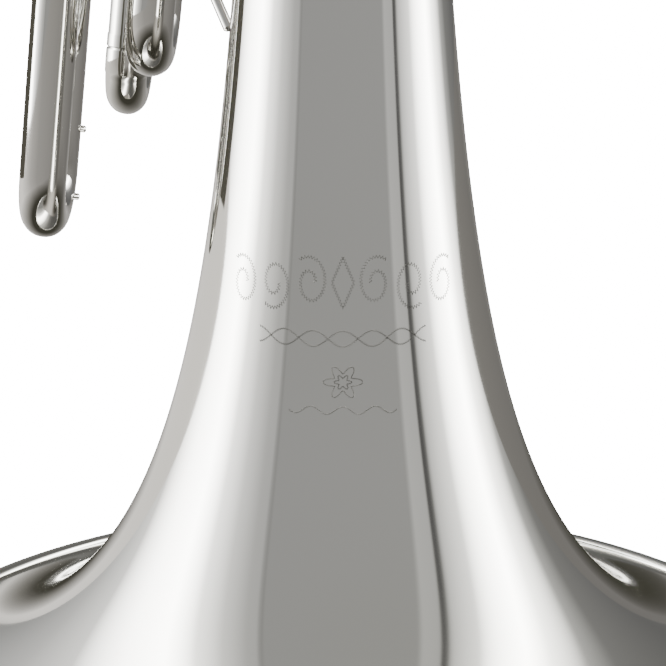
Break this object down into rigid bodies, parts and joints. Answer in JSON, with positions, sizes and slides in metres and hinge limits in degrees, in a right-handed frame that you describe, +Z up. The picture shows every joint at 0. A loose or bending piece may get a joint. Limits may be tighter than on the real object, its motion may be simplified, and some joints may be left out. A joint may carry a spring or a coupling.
{
  "type": "double french horn",
  "caption": "Double French horn with a large-throat bell standing rim down, rotary valves, levers, pull slides and mouthpiece.",
  "frame": {"origin": "centre of the bell rim, on the plane that the rim rests on", "axes": "+Z up along the bell axis, +Y from the bell towards the wrapped body, -X towards the levers and slides"},
  "size_m": [0.3112, 0.5541, 0.6347],
  "materials": {
    "nickel_silver": "mirror polished nickel silver, clear lacquered",
    "brass": "turned bronze",
    "steel": "ground steel",
    "cork": "matt synthetic cork",
    "string": "braided cord",
    "silver_plate": "bright silver plate"
  },
  "bodies": {
    "horn": {"bell": "nickel_silver", "bell_rim_wire": "steel", "bell_tail": "nickel_silver", "stem_ferrule": "nickel_silver", "tail_branch": "nickel_silver", "tail_ferrule": "nickel_silver", "rotor_bearings": "brass", "valve_caps": "nickel_silver", "cork_plates": "nickel_silver", "stop_corks": "cork", "knuckles": "nickel_silver", "f_slide_sleeves": "nickel_silver", "flat_slide_sleeves": "nickel_silver", "main_slide_sleeves": "nickel_silver", "leadpipe": "nickel_silver", "f_return_tube": "nickel_silver", "lever_posts": "nickel_silver", "finger_hinge_rod": "steel", "thumb_hinge_rod": "steel", "lever_springs": "steel", "mouthpiece_receiver": "nickel_silver", "bell_brace": "nickel_silver", "body_braces": "nickel_silver", "finger_hook_base": "nickel_silver", "finger_hook": "nickel_silver", "valve_casing_third": "nickel_silver", "valve_casing_second": "nickel_silver", "valve_casing_first": "nickel_silver", "valve_casing_change": "nickel_silver"},
    "rotor_third": {"rotor_third": "brass", "stop_arm_third": "nickel_silver"},
    "finger_lever_third": {"finger_lever_third": "nickel_silver", "strings_third": "string"},
    "rotor_second": {"rotor_second": "brass", "stop_arm_second": "nickel_silver"},
    "finger_lever_second": {"finger_lever_second": "nickel_silver", "strings_second": "string"},
    "rotor_first": {"rotor_first": "brass", "stop_arm_first": "nickel_silver"},
    "finger_lever_first": {"finger_lever_first": "nickel_silver", "strings_first": "string"},
    "rotor_change": {"rotor_change": "brass", "stop_arm_change": "nickel_silver"},
    "thumb_lever": {"thumb_lever": "nickel_silver", "strings_change": "string"},
    "main_tuning_slide": {"main_tuning_slide": "nickel_silver", "water_key_lugs": "nickel_silver", "water_key_pin": "steel"},
    "f_slide_third": {"f_slide_third": "nickel_silver"},
    "flat_slide_third": {"flat_slide_third": "nickel_silver"},
    "f_slide_second": {"f_slide_second": "nickel_silver"},
    "flat_slide_second": {"flat_slide_second": "nickel_silver"},
    "f_slide_first": {"f_slide_first": "nickel_silver"},
    "flat_slide_first": {"flat_slide_first": "nickel_silver"},
    "f_tuning_slide": {"f_tuning_slide": "nickel_silver"},
    "mouthpiece": {"mouthpiece": "silver_plate"},
    "water_key": {"water_key": "nickel_silver", "water_key_cork": "cork"}
  },
  "joints": [
    {"name": "finger_lever_third_hinge", "type": "hinge", "parent": "horn", "child": "finger_lever_third", "pos_m": [-0.10305, 0.083, 0.43187], "axis": [0, 1, 0], "range_deg": [0, 19.4], "stiffness_Nm_per_rad": 0.12, "springref_deg": -22.92},
    {"name": "rotor_third_turn", "type": "hinge", "parent": "horn", "child": "rotor_third", "pos_m": [-0.04543, 0.075, 0.4253], "axis": [-0.9936, 0, 0.1132], "range_deg": [0, 90]},
    {"name": "finger_lever_second_hinge", "type": "hinge", "parent": "horn", "child": "finger_lever_second", "pos_m": [-0.10305, 0.127, 0.43187], "axis": [0, 1, 0], "range_deg": [0, 19.4], "stiffness_Nm_per_rad": 0.12, "springref_deg": -22.92},
    {"name": "rotor_second_turn", "type": "hinge", "parent": "horn", "child": "rotor_second", "pos_m": [-0.04543, 0.119, 0.4253], "axis": [-0.9936, 0, 0.1132], "range_deg": [0, 90]},
    {"name": "finger_lever_first_hinge", "type": "hinge", "parent": "horn", "child": "finger_lever_first", "pos_m": [-0.10305, 0.171, 0.43187], "axis": [0, 1, 0], "range_deg": [0, 19.4], "stiffness_Nm_per_rad": 0.12, "springref_deg": -22.92},
    {"name": "rotor_first_turn", "type": "hinge", "parent": "horn", "child": "rotor_first", "pos_m": [-0.04543, 0.163, 0.4253], "axis": [-0.9936, 0, 0.1132], "range_deg": [0, 90]},
    {"name": "thumb_lever_hinge", "type": "hinge", "parent": "horn", "child": "thumb_lever", "pos_m": [-0.10305, 0.215, 0.43187], "axis": [0, -1, 0], "range_deg": [0, 19.4], "stiffness_Nm_per_rad": 0.12, "springref_deg": -22.92},
    {"name": "rotor_change_turn", "type": "hinge", "parent": "horn", "child": "rotor_change", "pos_m": [-0.04543, 0.207, 0.4253], "axis": [0.9936, 0, -0.1132], "range_deg": [0, 90]},
    {"name": "main_tuning_slide_pull", "type": "slide", "parent": "horn", "child": "main_tuning_slide", "axis": [-0.1132, 0, -0.9936], "range_m": [0, 0.045]},
    {"name": "f_slide_third_pull", "type": "slide", "parent": "horn", "child": "f_slide_third", "axis": [-0.1132, 0, -0.9936], "range_m": [0, 0.06]},
    {"name": "flat_slide_third_pull", "type": "slide", "parent": "horn", "child": "flat_slide_third", "axis": [-0.1132, 0, -0.9936], "range_m": [0, 0.06]},
    {"name": "f_slide_second_pull", "type": "slide", "parent": "horn", "child": "f_slide_second", "axis": [-0.1132, 0, -0.9936], "range_m": [0, 0.035]},
    {"name": "flat_slide_second_pull", "type": "slide", "parent": "horn", "child": "flat_slide_second", "axis": [-0.1132, 0, -0.9936], "range_m": [0, 0.02]},
    {"name": "f_slide_first_pull", "type": "slide", "parent": "horn", "child": "f_slide_first", "axis": [-0.1132, 0, -0.9936], "range_m": [0, 0.06]},
    {"name": "flat_slide_first_pull", "type": "slide", "parent": "horn", "child": "flat_slide_first", "axis": [-0.1132, 0, -0.9936], "range_m": [0, 0.05]},
    {"name": "f_tuning_slide_pull", "type": "slide", "parent": "horn", "child": "f_tuning_slide", "axis": [-0.1132, 0, -0.9936], "range_m": [0, 0.05]},
    {"name": "mouthpiece_pull", "type": "slide", "parent": "horn", "child": "mouthpiece", "axis": [-0.0766, 0.6937, 0.7162], "range_m": [0, 0.03]},
    {"name": "water_key_hinge", "type": "hinge", "parent": "main_tuning_slide", "child": "water_key", "pos_m": [-0.05062, 0.2748, 0.26486], "axis": [0.9936, 0, -0.1132], "range_deg": [0, 7], "stiffness_Nm_per_rad": 0.02, "springref_deg": -28.65}
  ],
  "couplings": [
    {"joint": "rotor_third_turn", "follows": "finger_lever_third_hinge", "ratio": 4.6392},
    {"joint": "rotor_second_turn", "follows": "finger_lever_second_hinge", "ratio": 4.6392},
    {"joint": "rotor_first_turn", "follows": "finger_lever_first_hinge", "ratio": 4.6392},
    {"joint": "rotor_change_turn", "follows": "thumb_lever_hinge", "ratio": 4.6392}
  ]
}
